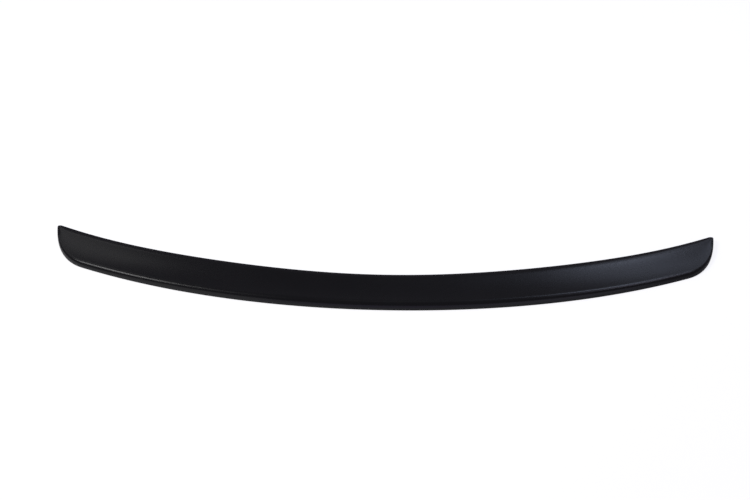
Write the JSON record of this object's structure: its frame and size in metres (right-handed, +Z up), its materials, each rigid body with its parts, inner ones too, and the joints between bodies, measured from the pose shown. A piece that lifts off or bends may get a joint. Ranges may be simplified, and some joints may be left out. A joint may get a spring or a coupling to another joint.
{
  "type": "car rear spoiler",
  "caption": "Low bowed lip for the rear edge of a saloon's boot lid, with a dished ramp, a low rounded crest, a rear face that stands up from the lid, rounded corners, blunt tips and a ribbed hollow underside.",
  "frame": {"origin": "centre of the bounding box's base, in the plane of the rear lower edge", "axes": "+X across the car, +Y towards the front of the car, +Z up"},
  "size_m": [1.22, 0.1955, 0.013],
  "materials": {
    "moulded_plastic": "satin black moulded ABS, unpainted, with a very fine grain"
  },
  "bodies": {
    "root": {"spoiler": "moulded_plastic"}
  },
  "joints": []
}
